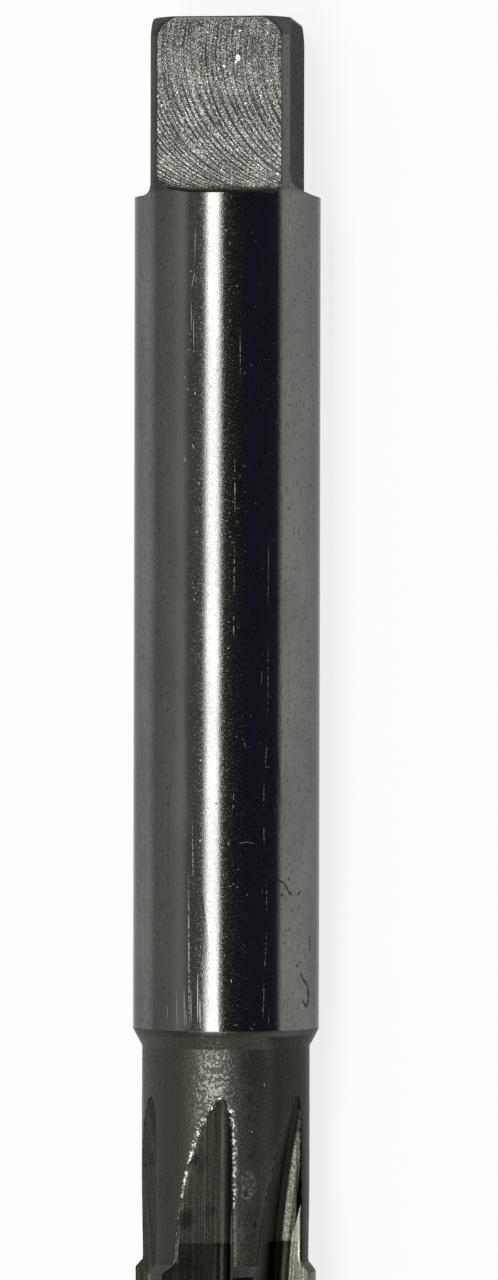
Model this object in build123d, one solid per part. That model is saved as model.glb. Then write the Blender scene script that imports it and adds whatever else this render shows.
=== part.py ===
"""Hand reamer, 3/8 inch size, straight flutes, with a square to turn it by.

The tool is one piece of hardened steel. It lies along Y with its square towards +Y, its axis level and
+Z up, rolled the way it comes to rest: on the two edges that border its lowest flute. The origin is on
the tool's axis, in the plane where the square meets the round shank. Angles round the axis are counted
from +Z towards +X. All sizes are in millimetres and degrees.
"""
from build123d import *
import math
import os

# Sizes along the tool, from the square to the cutting end
square_length = 9.0
shank_length = 42.3
neck_length = 10.95
cutting_length = 63.45

# Sizes across the tool
shank_diameter = 9.50
neck_diameter = 8.56
cutting_diameter = 9.525
square_across_flats = 7.11

# Square: an end mill crosses each flat sideways and stops just past the flat's middle line
mill_diameter = 14.3
mill_corner_radius = 0.5
mill_stop_past_middle = 0.65
square_end_face_diameter = 8.4
square_end_bevel_angle = 58.6

# Steps down to the neck and up to the cutting part
shank_step_angle = 28.0
cutting_step_angle = 45.0

# Flutes: one side of the grinding wheel makes the cutting face, its rim makes the sloping back
flute_count = 6
flute_root_height = 2.76
flute_back_rise_angle = 7.0
cutting_face_lean = 2.0
flute_corner_radius = 0.50
wheel_radius = 50.0
flute_full_depth_start = 57.5
wheel_lift_angle = 17.0

# Lands: a narrow round margin behind each cutting edge, then a flat relief down to the heel
margin_width = 0.35
heel_drop = 0.045

# Cutting end: a long slight taper to start the tool, and a short bevel
lead_taper_length = 16.0
lead_taper_drop = 0.13
end_bevel = 0.40

# How far a ground bevel, step or taper bows out between its ends
square_bevel_crown = 0.10
ground_crown = 0.008

# Centre holes, for turning and grinding the tool between centres
centre_mouth_diameter = 2.8
centre_pilot_diameter = 1.2
centre_pilot_depth = 3.2
centre_cone_angle = 60.0

# The square's turn from the cutting edges, as the photographed tool has it
square_turn_from_edge = -11.5

# Room that a cutter leaves past the metal it removes
overshoot = 2.0


def rad(angle):
    """An angle in radians."""
    return math.radians(angle)


shank_radius = shank_diameter / 2
neck_radius = neck_diameter / 2
cutting_radius = cutting_diameter / 2
heel_radius = cutting_radius - heel_drop

shank_step_length = (shank_radius - neck_radius) / math.tan(rad(shank_step_angle))
cutting_step_length = (cutting_radius - neck_radius) / math.tan(rad(cutting_step_angle))
cutting_start = shank_length + shank_step_length + neck_length
tool_end = cutting_start + cutting_length

# A flute's root is straight below +Z until the tool is rolled. The face leans so that its edge lies a
# little past the root, and the back's line meets the heel's circle well before it.
flute_pitch = 360 / flute_count
face_distance = flute_root_height * math.sin(rad(cutting_face_lean))
back_distance = flute_root_height * math.cos(rad(flute_back_rise_angle))
edge_past_root = cutting_face_lean - math.degrees(math.asin(face_distance / cutting_radius))
heel_before_root = math.degrees(math.acos(back_distance / heel_radius)) - flute_back_rise_angle
flute_width_angle = edge_past_root + heel_before_root
land_angle = flute_pitch - flute_width_angle

# At rest a flute's cutting edge and heel are at one height, which sets the roll of the whole tool
edge_angle = math.degrees(math.atan2(
    cutting_radius - heel_radius * math.cos(rad(flute_width_angle)),
    heel_radius * math.sin(rad(flute_width_angle)),
))
root_angle = edge_angle - edge_past_root
square_angle = edge_angle + square_turn_from_edge


def across_at(distance):
    """The plane square to the axis, this far below the origin. Its x is X and its y is Z."""
    return Plane(origin=(0, -distance, 0), x_dir=(1, 0, 0), z_dir=(0, -1, 0))


def turned(shape, angle):
    """The shape turned about the tool's axis, from +Z towards +X."""
    return Rot(0, angle, 0) * shape


def crowned(start, end, crown):
    """A ground bevel's line from start to end on the blank's outline, bowed outwards by crown."""
    start, end = Vector(*start), Vector(*end)
    outward = (end - start).rotate(Axis.Z, 90).normalized()
    return ThreePointArc(start, (start + end) / 2 + outward * crown, end)


def round_blank():
    """The turned blank: square end with its bevel, shank, neck, and the cutting part with its taper.

    The revolve starts straight above the axis, so that no seam lies on the line where the shank rests.
    """
    end_face_radius = square_end_face_diameter / 2
    end_bevel_length = (shank_radius - end_face_radius) * math.tan(rad(square_end_bevel_angle))
    tip_radius = cutting_radius - lead_taper_drop
    end_face = (end_face_radius, square_length)
    square_corner = (shank_radius, square_length - end_bevel_length)
    neck_end = (neck_radius, -cutting_start)
    cutting_corner = (cutting_radius, -cutting_start - cutting_step_length)
    taper_start = (cutting_radius, -tool_end + lead_taper_length)
    taper_end = (tip_radius, -tool_end + end_bevel)
    tip = (tip_radius - end_bevel, -tool_end)
    outline = [
        Line((0, square_length), end_face),
        crowned(end_face, square_corner, square_bevel_crown),
        Polyline(
            square_corner,
            (shank_radius, -shank_length),
            (neck_radius, -shank_length - shank_step_length),
            neck_end,
        ),
        crowned(neck_end, cutting_corner, ground_crown),
        Line(cutting_corner, taper_start),
        crowned(taper_start, taper_end, ground_crown),
        crowned(taper_end, tip, ground_crown),
        Polyline(tip, (0, -tool_end), (0, square_length)),
    ]
    return turned(revolve(make_face(outline), axis=Axis.Y), -90)


def square_cutter():
    """What the end mill removes at the flat that faces +Z.

    The mill's end makes the flat, its rounded corner the fillet and its side the square's shoulder. Its
    centre runs in from +X and stops past the flat's middle, so the shoulder curves up at the far side.
    """
    mill_radius = mill_diameter / 2
    reach = shank_radius + mill_radius + overshoot
    mill_plane = Plane(
        origin=(-mill_stop_past_middle, mill_radius, square_across_flats / 2),
        x_dir=(1, 0, 0),
        z_dir=(0, 0, 1),
    )
    swept_disc = Circle(mill_radius)
    swept_disc += Pos(reach / 2, 0) * Rectangle(reach, mill_diameter)
    depth = shank_radius - square_across_flats / 2 + overshoot
    cutter = extrude(mill_plane * swept_disc, amount=depth)
    floor_edges = cutter.faces().sort_by(Axis.Z)[0].edges()
    inner_edges = [edge for edge in floor_edges if edge.center().X < reach / 2]
    return fillet(inner_edges, mill_corner_radius)


def flute_section():
    """The section of the flute whose root is straight above the axis, open towards +Z.

    The cutting face rises from the root, leaning a little towards +X, and the back slopes up towards -X.
    """
    side = cutting_radius + overshoot / 2
    top = cutting_radius + overshoot
    face_run = (top - flute_root_height) * math.tan(rad(cutting_face_lean))
    back_rise = side * math.tan(rad(flute_back_rise_angle))
    outline = Polyline(
        (0, flute_root_height),
        (face_run, top),
        (-side, top),
        (-side, flute_root_height + back_rise),
        close=True,
    )
    section = make_face(outline)
    root = section.vertices().sort_by(Axis.Y)[0]
    return fillet(root, flute_corner_radius)


def flute_cutter():
    """What the grinding wheel removes for the flute whose root is straight above the axis.

    The full depth is a straight run to the cutting end. Towards the shank the wheel's own roundness
    lifts the section out of the neck, which leaves the pointed run-out.
    """
    start = across_at(flute_full_depth_start)
    section = start * flute_section()
    run = tool_end - flute_full_depth_start + overshoot
    straight = extrude(section, amount=run, dir=(0, -1, 0))
    wheel_axis = Axis((0, -flute_full_depth_start, flute_root_height + wheel_radius), (1, 0, 0))
    run_out = revolve(section, axis=wheel_axis, revolution_arc=wheel_lift_angle)
    return straight + run_out


def relief_cutter():
    """What is ground off behind the margin of the land whose cutting edge is at +Z, down to its heel."""
    margin_angle = margin_width / cutting_radius
    margin_end = Vector(cutting_radius * math.sin(margin_angle), cutting_radius * math.cos(margin_angle))
    heel = Vector(heel_radius * math.sin(rad(land_angle)), heel_radius * math.cos(rad(land_angle)))
    past_heel = heel + (heel - margin_end)
    outward = 1 + overshoot / cutting_radius
    outline = Polyline(
        (margin_end.X, margin_end.Y),
        (past_heel.X, past_heel.Y),
        (past_heel.X * outward, past_heel.Y * outward),
        (margin_end.X * outward, margin_end.Y * outward),
        close=True,
    )
    return extrude(across_at(cutting_start) * make_face(outline), amount=cutting_length + overshoot,
                   dir=(0, -1, 0))


def centre_hole():
    """A centre hole that opens towards +Y at the origin: a cone with a small pilot hole below it."""
    mouth_radius = centre_mouth_diameter / 2
    pilot_radius = centre_pilot_diameter / 2
    cone_depth = (mouth_radius - pilot_radius) / math.tan(rad(centre_cone_angle / 2))
    outline = Polyline(
        (0, overshoot),
        (mouth_radius, overshoot),
        (mouth_radius, 0),
        (pilot_radius, -cone_depth),
        (pilot_radius, -centre_pilot_depth),
        (0, -centre_pilot_depth),
        close=True,
    )
    return revolve(make_face(outline), axis=Axis.Y)


def hand_reamer():
    """The whole tool: the blank, less the square, the flutes, the reliefs and the centre holes."""
    body = round_blank()
    for side in range(4):
        body -= turned(square_cutter(), square_angle + side * 90)
    for flute in range(flute_count):
        body -= turned(relief_cutter(), edge_angle + flute * flute_pitch)
        body -= turned(flute_cutter(), root_angle + flute * flute_pitch)
    body -= Pos(0, square_length, 0) * centre_hole()
    body -= Pos(0, -tool_end, 0) * (Rot(180, 0, 0) * centre_hole())
    return body.solid()


os.makedirs("parts", exist_ok=True)
reamer = hand_reamer()
reamer.label = "hand_reamer"
export_step(reamer, "parts/hand_reamer.step")
print("length", round(reamer.bounding_box().size.Y, 3))
print("cutting edge at", round(edge_angle, 2), "heel before it by", round(flute_width_angle, 2))
print("square turned to", round(square_angle, 2), "cutting part starts at", round(cutting_start, 2))
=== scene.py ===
"""Looks of a 3/8 inch straight-flute hand reamer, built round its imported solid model.

The tool is one closed surface, worked out row by row along its axis. Every row has the same number of
columns round the axis, and the columns follow the tool's own lines: the cutting edges, the heels and the
roots of the flutes towards one end, and the borders of the four flats towards the other. Angles round the
axis are counted from +Z towards +X, as in the solid model, and all lengths are in metres.
"""
import math

import bpy
import numpy as np
from mathutils import Matrix, Vector


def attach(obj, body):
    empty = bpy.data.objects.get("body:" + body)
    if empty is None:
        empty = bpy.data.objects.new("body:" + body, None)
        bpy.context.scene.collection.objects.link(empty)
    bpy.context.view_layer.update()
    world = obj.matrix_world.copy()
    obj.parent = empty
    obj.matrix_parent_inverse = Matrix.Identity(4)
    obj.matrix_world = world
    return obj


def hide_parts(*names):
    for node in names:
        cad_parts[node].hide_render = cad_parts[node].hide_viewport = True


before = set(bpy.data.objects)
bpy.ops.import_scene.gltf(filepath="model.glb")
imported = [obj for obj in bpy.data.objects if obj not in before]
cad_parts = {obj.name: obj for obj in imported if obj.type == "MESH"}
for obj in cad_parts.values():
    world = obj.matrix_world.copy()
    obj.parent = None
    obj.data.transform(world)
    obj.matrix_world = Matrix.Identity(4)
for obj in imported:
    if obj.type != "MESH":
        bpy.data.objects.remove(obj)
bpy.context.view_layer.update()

bl_info = {
    "name": "Hand Reamer Looks",
    "version": (1, 0, 0),
    "blender": (4, 5, 0),
    "location": "3D View > Sidebar > Reamer",
    "description": "Builds a straight-flute hand reamer, its steel finishes and a plain studio stage",
    "category": "Object",
}

MM = 0.001

# How many columns each stretch of a land and its flute takes, and each flat and corner of the square
LAND_COLUMNS = 12
BACK_COLUMNS = 17
ROOT_COLUMNS = 6
FACE_COLUMNS = 9
SECTOR_COLUMNS = LAND_COLUMNS + BACK_COLUMNS + ROOT_COLUMNS + FACE_COLUMNS
FLUTES = 6
SECTOR = 2 * math.pi / FLUTES
COLUMNS = FLUTES * SECTOR_COLUMNS
FLATS = 4
SIDE_COLUMNS = COLUMNS // FLATS
FLAT_COLUMNS = 58
CORNER_COLUMNS = SIDE_COLUMNS - FLAT_COLUMNS

# The finishes, in the order of the piece's material slots
GROUND, MILLED, TURNED, DULL, FLUTE, LAND = range(6)

# The wear on a flat's top narrows over this distance from its borders, down to this share of its width
WEAR_NARROWS = 0.5 * MM
CORNER_WEAR = 0.4

# Where a flat cuts the square's end face off, the face's rows take this share of the way out
END_FACE_SHARE = 0.92

# A fillet's and a shoulder wall's rows on each flat
FILLET_ROWS = 6
WALL_ROWS = 4

# Rows that lie on one another in the solid model are kept this far apart, and a shoulder lower than
# RUN_OUT has run out
HAIR = 0.004 * MM
RUN_OUT = 0.002 * MM

# Above this place the columns follow the square, and below it they turn towards the flutes
TURN_FROM = -18 * MM

# Reaches from a flute's root: two that are sure to be outside the tool, out along its back and up its
# face, and one that its lowest point is within
PAST_HEEL = 9 * MM
PAST_EDGE = 6 * MM
LOWEST_WITHIN = 0.9 * MM

# The wear along an edge takes at most this share of the flute's section, and the second column beside
# an edge is this many wear widths from it. The cutting part's own edges are sharp, with no wear to see
MOST_WEAR = 0.07
SECOND_COLUMN = 2.5
SHARP = 0.01 * MM

# The rows down the step up to the cutting part
STEP_ROWS = 6

# A centre hole's cone leans this much from the axis, and at the cutting end its mouth's columns are this
# many columns further round than the outline's
CENTRE_CONE_SLOPE = math.radians(30)
MOUTH_AHEAD = 8

# How many times a span is halved to find where a flute's surface meets the round body
HALVINGS = 60

# A distance for the places that are nowhere near a cutting edge or a heel
FAR = 10 * MM

# A point that is this many half sizes from a mark's middle is well outside the mark
NO_MARK = 2.0

# On the charts, each flat and each flute starts this many millimetres after the one before it
CHART_STEP = 20.0


def length(name, description, default):
    """A length that a user can change, given here in millimetres and kept in metres."""
    return bpy.props.FloatProperty(
        name=name, description=description, default=default * MM, min=0.0, unit="LENGTH", precision=6)


def angle(name, description, default):
    """An angle that a user can change, given here in degrees and kept in radians."""
    return bpy.props.FloatProperty(
        name=name, description=description, default=math.radians(default), subtype="ANGLE", precision=4)


def colour(name, description, default):
    """A colour that a user can change."""
    return bpy.props.FloatVectorProperty(
        name=name, description=description, default=default, min=0.0, max=1.0, size=3, subtype="COLOR")


class ReamerSizes(bpy.types.PropertyGroup):
    """The tool's sizes, the same as the solid model's."""
    square_length: length("Square length", "From the shoulder to the end face", 9.0)
    shank_length: length("Shank length", "From the shoulder to the step down", 42.3)
    neck_length: length("Neck length", "Between the two steps", 10.95)
    cutting_length: length("Cutting length", "From the step up to the cutting end", 63.45)
    shank_diameter: length("Shank diameter", "Across the round shank", 9.50)
    neck_diameter: length("Neck diameter", "Across the reduced neck", 8.56)
    cutting_diameter: length("Cutting diameter", "Across two opposite cutting edges", 9.525)
    across_flats: length("Across flats", "Between two opposite flats of the square", 7.11)
    mill_diameter: length("Mill diameter", "Of the end mill that cut the flats", 14.3)
    mill_corner: length("Mill corner", "Radius of the fillet at a flat's foot", 0.5)
    mill_past_middle: length("Mill past middle", "Where the mill stopped", 0.65)
    end_face_diameter: length("End face", "Across the square's end face", 8.4)
    end_slope: angle("End slope", "Of the square's end bevel", 58.6)
    end_bow: length("End bow", "How far the square's end bevel bows out", 0.10)
    top_wear: length("Top wear", "Width of the rounding along the tops of the flats", 0.14)
    shank_step: angle("Shank step", "Slope of the step down to the neck", 28.0)
    root_height: length("Root height", "From the axis to a flute's root", 2.76)
    back_rise: angle("Back rise", "How much a flute's back slopes up", 7.0)
    face_lean: angle("Face lean", "How much the cutting face leans", 2.0)
    root_radius: length("Root radius", "Of the fillet at a flute's root", 0.5)
    wheel_radius: length("Wheel radius", "Of the grinding wheel", 50.0)
    full_depth: length("Full depth", "From the shoulder to the flutes' full depth", 57.5)
    margin: length("Margin", "Width of the round margin", 0.35)
    heel_drop: length("Heel drop", "How far the relief drops at the heel", 0.045)
    taper_length: length("Taper length", "Of the lead taper", 16.0)
    taper_drop: length("Taper drop", "Of the lead taper's radius", 0.13)
    end_bevel: length("End bevel", "At the cutting end", 0.40)
    centre_mouth: length("Centre mouth", "Across a centre hole's mouth", 2.8)
    centre_pilot: length("Centre pilot", "Across a centre hole's pilot", 1.2)
    centre_depth: length("Centre depth", "Of a centre hole's pilot", 3.2)
    edge_angle: angle("Edge angle", "Where the first cutting edge is, from +Z towards +X", 24.776811)
    square_angle: angle("Square angle", "Where the first flat faces, from +Z towards +X", 13.276811)
    edge_wear: length("Edge wear", "Width of the rounding along the edges of the run-outs", 0.08)


class SteelLooks(bpy.types.PropertyGroup):
    """The colours of the steel's finishes."""
    ground: colour("Ground steel", "Of the shank and the lands", (0.167, 0.164, 0.156))
    milled: colour("Milled steel", "Of the square's flats", (0.135, 0.134, 0.122))
    turned: colour("Turned steel", "Of the bevels, end faces and centre holes", (0.078, 0.076, 0.073))
    dull: colour("Dull steel", "Of the neck", (0.070, 0.069, 0.053))
    fluted: colour("Fluted steel", "Of the flutes", (0.090, 0.089, 0.070))
    rake: colour("Rake steel", "Of the flutes' cutting faces", (0.500, 0.515, 0.415))


class StageLooks(bpy.types.PropertyGroup):
    """The camera's place and the studio round the tool."""
    floor: colour("Floor", "The pale floor", (0.88, 0.88, 0.88))
    strip: bpy.props.FloatProperty(
        name="Strip", description="How bright the long soft box above the tool is", default=6.9, min=0.0)
    tilt: angle("Camera tilt", "Of the camera from straight above, towards +X", 20.25)
    roll: angle("Camera roll", "Anticlockwise", 0.125)
    distance: length("Camera distance", "From the tool's axis", 357.0)
    pixel: length("Pixel", "What one pixel of the picture covers at the axis", 0.0510)


def rows_of(*values):
    """The values as one column of numbers, so that they spread over a row's columns."""
    return np.concatenate([np.atleast_1d(value) for value in values])[:, None]


def parabola(before, corner, after, share):
    """A rounded corner's points: before (1 - t) squared + 2 corner t (1 - t) + after t squared.

    t is share. The curve sets out from before towards the sharp corner, and ends at after.
    """
    return before * (1 - share) ** 2 + 2 * corner * share * (1 - share) + after * share ** 2


def halved(inside, outside, is_outside):
    """Where is_outside turns true between two places, by halving the span between them."""
    for _ in range(HALVINGS):
        middle = (inside + outside) / 2
        out = is_outside(middle)
        inside, outside = np.where(out, inside, middle), np.where(out, middle, outside)
    return (inside + outside) / 2


def smooth_step(share):
    """Rises from 0 to 1 with a level start and end: 3 t squared less 2 t cubed."""
    share = np.clip(share, 0.0, 1.0)
    return share * share * (3.0 - 2.0 * share)


class Places:
    """The places along the axis where one form of the tool gives way to the next."""

    def __init__(self, sizes):
        self.end = sizes.square_length
        self.step = -sizes.shank_length
        drop = (sizes.shank_diameter - sizes.neck_diameter) / 2
        self.neck_start = self.step - drop / math.tan(sizes.shank_step)
        self.neck_end = self.neck_start - sizes.neck_length
        self.cutting_start = self.neck_end - (sizes.cutting_diameter - sizes.neck_diameter) / 2
        self.tool_end = self.neck_end - sizes.cutting_length
        self.taper_start = self.tool_end + sizes.taper_length
        self.apex = -sizes.full_depth + apex_run(sizes)


class Columns:
    """What the grid's columns follow: the flats and corners at one end, the lands and flutes at the other.

    On the square, a flat's columns are evenly turned round the shank from one of its borders to the
    other, and a corner's columns share what is left. On the cutting part, local counts the columns from
    the first cutting edge, so that each land and flute begins at a multiple of SECTOR_COLUMNS.
    """

    def __init__(self, sizes):
        shank = sizes.shank_diameter / 2
        border = math.acos(sizes.across_flats / 2 / shank)
        corner = math.pi / 2 - 2 * border
        number = np.arange(COLUMNS)
        self.side, self.place = number // SIDE_COLUMNS, number % SIDE_COLUMNS
        self.on_flat = self.place <= FLAT_COLUMNS
        self.faces_flat = self.place < FLAT_COLUMNS
        past_border = (self.place - FLAT_COLUMNS) / CORNER_COLUMNS
        turn = np.where(self.on_flat, border * (2 * self.place / FLAT_COLUMNS - 1),
                        border + corner * past_border)
        self.facing = sizes.square_angle + self.side * math.pi / 2
        self.on_shank = self.facing + turn
        self.across = shank * np.sin(turn)
        self.past_border = np.clip(past_border, 0.0, 1.0)
        self.border = (self.place == 0) | (self.place == FLAT_COLUMNS)

        first_edge = int(round((sizes.edge_angle - self.on_shank[0]) / (2 * math.pi) * COLUMNS))
        self.lap, self.local = np.divmod(number - first_edge, COLUMNS)
        self.sector, self.in_sector = np.divmod(self.local, SECTOR_COLUMNS)
        self.in_flute = self.in_sector >= LAND_COLUMNS
        self.edge = (self.in_sector == 0) | (self.in_sector == LAND_COLUMNS)

    def on_flat_at(self, height):
        """The angle and the distance from the axis of each column's place across its flat, this high."""
        return self.facing + np.arctan2(self.across, height), np.hypot(self.across, height)


def flute_section(sizes, reach):
    """The distance across and the height of a point of the flute's section, for its reach.

    Reach is the length along the section, 0 where the root's fillet begins. Below 0 it follows the
    sloping back. Up to the fillet's length it follows an arc. Past that it follows the cutting face.
    """
    rise, lean, radius = sizes.back_rise, sizes.face_lean, sizes.root_radius
    sweep = math.pi / 2 - lean + rise
    tangent = radius / math.tan((math.pi - sweep) / 2)
    centre_across = -tangent * math.cos(rise) + radius * math.sin(rise)
    centre_up = sizes.root_height + tangent * math.sin(rise) + radius * math.cos(rise)
    turn = np.clip(reach / radius, 0.0, sweep) - rise
    before = np.minimum(reach, 0.0)
    after = np.maximum(reach - radius * sweep, 0.0)
    across = centre_across + radius * np.sin(turn) + before * math.cos(rise) + after * math.sin(lean)
    up = centre_up - radius * np.cos(turn) - before * math.sin(rise) + after * math.cos(lean)
    return across, up


def lifted_flute(sizes, reach, run):
    """The angle from the root's direction and the distance from the axis of a point in the run-out.

    run is the distance past the full depth, towards the shank. There the wheel's rim has lifted a point
    by its own radius less the root of that radius squared less run squared.
    """
    across, up = flute_section(sizes, reach)
    wheel_centre = sizes.root_height + sizes.wheel_radius
    rim = wheel_centre - up
    up = wheel_centre - np.sqrt(np.maximum(rim * rim - run * run, 0.0))
    return np.arctan2(across, up), np.hypot(across, up)


def lowest_reach(sizes, run):
    """Where along the section the flute comes nearest the axis, found on a fine grid of reaches."""
    reach = np.linspace(-LOWEST_WITHIN, LOWEST_WITHIN, 2401)[None, :]
    distance = lifted_flute(sizes, reach, run)[1]
    return reach[0, distance.argmin(axis=1)][:, None]


def crossing_reach(sizes, run, radius, inside, outside):
    """Where the flute's section leaves the round body, between a reach inside it and one outside it."""
    return halved(inside, outside, lambda reach: lifted_flute(sizes, reach, run)[1] > radius)


def apex_run(sizes):
    """How far past the full depth a flute's point on the neck is."""
    def above_neck(run):
        """Whether the flute's lowest point is out of the neck, this far past the full depth."""
        return lifted_flute(sizes, lowest_reach(sizes, run), run)[1] >= sizes.neck_diameter / 2

    return float(halved(np.zeros((1, 1)), np.full((1, 1), sizes.wheel_radius / 2), above_neck)[0, 0])


def outer_radius(sizes, places, along):
    """The radius of the body before its flutes: neck, step up, cutting part, lead taper, end bevel."""
    neck, cutting = sizes.neck_diameter / 2, sizes.cutting_diameter / 2
    tip = cutting - sizes.taper_drop
    stops = [places.tool_end, places.tool_end + sizes.end_bevel, places.taper_start, places.cutting_start,
             places.neck_end, places.neck_start]
    return np.interp(along, stops, [tip - sizes.end_bevel, tip, cutting, cutting, neck, neck])


def edge_past_root(sizes):
    """The angle from a flute's root to its cutting edge, because the face leans."""
    offset = sizes.root_height * math.sin(sizes.face_lean) / (sizes.cutting_diameter / 2)
    return sizes.face_lean - math.asin(offset)


def relieved_radius(sizes, past_edge):
    """The radius of a land: round over its margin, then straight down to the heel.

    The straight part is a chord, so its radius is the chord's distance from the axis over the cosine of
    the angle from the chord's own normal.
    """
    cutting = sizes.cutting_diameter / 2
    heel = cutting - sizes.heel_drop
    back = sizes.root_height * math.cos(sizes.back_rise)
    width = edge_past_root(sizes) + math.acos(back / heel) - sizes.back_rise
    heel_at = SECTOR - width
    margin_at = sizes.margin / cutting
    start = np.array([math.sin(margin_at), math.cos(margin_at)]) * cutting
    end = np.array([math.sin(heel_at), math.cos(heel_at)]) * heel
    chord = (end - start) / np.linalg.norm(end - start)
    normal = np.array([-chord[1], chord[0]])
    facing = math.atan2(normal[0], normal[1])
    straight = (normal @ start) / np.cos(past_edge - facing)
    return np.where(past_edge < margin_at, cutting, straight)


def fluted_rows(sizes, places, along, wear):
    """The angle, radius, reach and distances from edge and heel of rows that the flutes cut.

    Each of the six sectors has the land from a cutting edge to the heel, and the flute from that heel
    down its back, round its root and up its face to the next cutting edge. The two columns beside an edge
    are one and SECOND_COLUMN wear widths from it, for the worn rounding. Close to a run-out's point, the
    root's columns keep to shares of the short section.
    """
    run = np.maximum(along + sizes.full_depth, 0.0)
    outer = outer_radius(sizes, places, along)
    heel_radius = sizes.cutting_diameter / 2 - sizes.heel_drop
    lowest = lowest_reach(sizes, run)
    heel = crossing_reach(sizes, run, np.minimum(outer, heel_radius), lowest, lowest - PAST_HEEL)
    edge = crossing_reach(sizes, run, outer, lowest, lowest + PAST_EDGE)
    span = edge - heel
    close = np.minimum(wear, MOST_WEAR * span)
    clear = SECOND_COLUMN * close
    fillet = sizes.root_radius * (math.pi / 2 - sizes.face_lean + sizes.back_rise)
    root_from = np.clip(0.0, heel + 0.35 * span, heel + 0.65 * span)
    root_to = np.clip(fillet, root_from + 0.1 * span, edge - 0.2 * span)

    back_from = heel + clear
    share = np.arange(BACK_COLUMNS - 2)[None, :] / (BACK_COLUMNS - 2)
    back = np.hstack([heel, heel + close, back_from + (root_from - back_from) * share])
    root = root_from + (root_to - root_from) * np.arange(ROOT_COLUMNS)[None, :] / ROOT_COLUMNS
    share = np.arange(FACE_COLUMNS - 1)[None, :] / (FACE_COLUMNS - 2)
    face = np.hstack([root_to + (edge - clear - root_to) * share, edge - close])
    flute_reach = np.hstack([back, root, face])
    flute_turn, flute_radius = lifted_flute(sizes, flute_reach, run)

    land_from = lifted_flute(sizes, edge, run)[0]
    land_span = (SECTOR + lifted_flute(sizes, heel, run)[0] - land_from) * outer
    margin = np.minimum(sizes.margin, 0.3 * land_span)
    share = np.arange(LAND_COLUMNS - 4)[None, :] / (LAND_COLUMNS - 5)
    land_at = np.hstack([0 * close, close, clear, margin + (land_span - clear - margin) * share,
                         land_span - close])
    land_turn = land_from + land_at / outer
    relieved = relieved_radius(sizes, land_turn - edge_past_root(sizes))
    land_radius = np.where(along > places.neck_end, outer, np.minimum(outer, relieved))

    first_root = sizes.edge_angle - edge_past_root(sizes)
    turn = first_root + np.hstack([land_turn, SECTOR + flute_turn])
    turn = np.hstack([turn + SECTOR * number for number in range(FLUTES)])
    one_sector = {
        "radius": np.hstack([land_radius, flute_radius]),
        "reach": np.hstack([np.zeros_like(land_turn), flute_reach]),
        "from_edge": np.hstack([land_at, edge - flute_reach]),
        "from_heel": np.hstack([land_span - land_at, flute_reach - heel]),
    }
    return {"turn": turn, **{name: np.tile(part, (1, FLUTES)) for name, part in one_sector.items()}}


def worn_edges(rows):
    """Rounds the cutting edges and heels of the rows, as handling has done on the run-outs.

    Across each edge five columns follow a parabola, from the second column before it to the second after.
    """
    point = rows["radius"] * np.exp(1j * rows["turn"])
    worn = point.copy()
    for column in (0, LAND_COLUMNS):
        at = np.arange(column, COLUMNS, SECTOR_COLUMNS)
        before, edge, after = (point[:, (at + step) % COLUMNS] for step in (-2, 0, 2))
        for step, share in ((-1, 0.25), (0, 0.5), (1, 0.75)):
            worn[:, (at + step) % COLUMNS] = parabola(before, edge, after, share)
    return {**rows, "radius": np.abs(worn), "turn": rows["turn"] + np.angle(worn / point)}


def band(turn, radius, along, finish, around=None, down=False, reach=0.0, from_edge=FAR, from_heel=FAR):
    """Rows of the surface, as one table for each quantity, spread over the rows and the columns.

    finish belongs to the face that follows a point on both ways. around gives, for a row's number, the
    columns that are a sharp line on to the next column, and down those that are one to the next row.
    """
    values = {"turn": turn, "radius": radius, "along": along, "reach": reach, "from_edge": from_edge,
              "from_heel": from_heel}
    count = max(np.shape(value)[0] for value in values.values() if np.ndim(value) == 2)
    table = {name: np.broadcast_to(value, (count, COLUMNS)).astype(float) for name, value in values.items()}
    table["finish"] = np.broadcast_to(finish, (count, COLUMNS)).astype(int)
    table["down"] = np.broadcast_to(down, (count, COLUMNS))
    table["around"] = np.zeros((count, COLUMNS), bool)
    for row, sharp in (around or {}).items():
        table["around"][row] = sharp
    return table


def end_bevel_along(sizes, radius):
    """Where the square's end is, this far from the axis: level over the end face, then the bowed bevel.

    The bevel is an arc over a chord from the end face's rim to the shank. Its place along the axis is its
    centre's plus the root of its own radius squared less the distance from that centre squared.
    """
    rim, shank = sizes.end_face_diameter / 2, sizes.shank_diameter / 2
    run, drop = shank - rim, (shank - rim) * math.tan(sizes.end_slope)
    chord = math.hypot(run, drop)
    arc = (chord * chord / 4 + sizes.end_bow ** 2) / (2 * sizes.end_bow)
    behind = (arc - sizes.end_bow) / chord
    centre = (rim + shank) / 2 - drop * behind
    out = np.maximum(radius, rim) - centre
    return sizes.square_length - drop / 2 - run * behind + np.sqrt(arc * arc - out * out)


def square_top(sizes, columns):
    """Each column's angle and distance from the axis at the square's top, and the width of its rounding.

    The tops of the flats are rounded the most, and the rounding narrows towards the corners.
    """
    turn, radius = columns.on_flat_at(sizes.across_flats / 2)
    turn = np.where(columns.on_flat, turn, columns.on_shank)
    radius = np.where(columns.on_flat, radius, sizes.shank_diameter / 2)
    from_border = np.abs(columns.across).max() - np.abs(columns.across)
    share = np.where(columns.on_flat, smooth_step(from_border / WEAR_NARROWS), 0.0)
    return turn, radius, sizes.top_wear * (CORNER_WEAR + (1 - CORNER_WEAR) * share)


def centre_hole(sizes):
    """The radius and the depth of a centre hole's rows: floor, pilot and cone, out to the mouth."""
    mouth, pilot, depth = sizes.centre_mouth / 2, sizes.centre_pilot / 2, sizes.centre_depth
    cone = (mouth - pilot) / math.tan(CENTRE_CONE_SLOPE)
    radius = rows_of(pilot / 2, pilot, pilot, pilot, (pilot + mouth) / 2, mouth)
    return radius, rows_of(depth, depth, 0.7 * depth, cone, cone / 2, 0.0)


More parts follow.
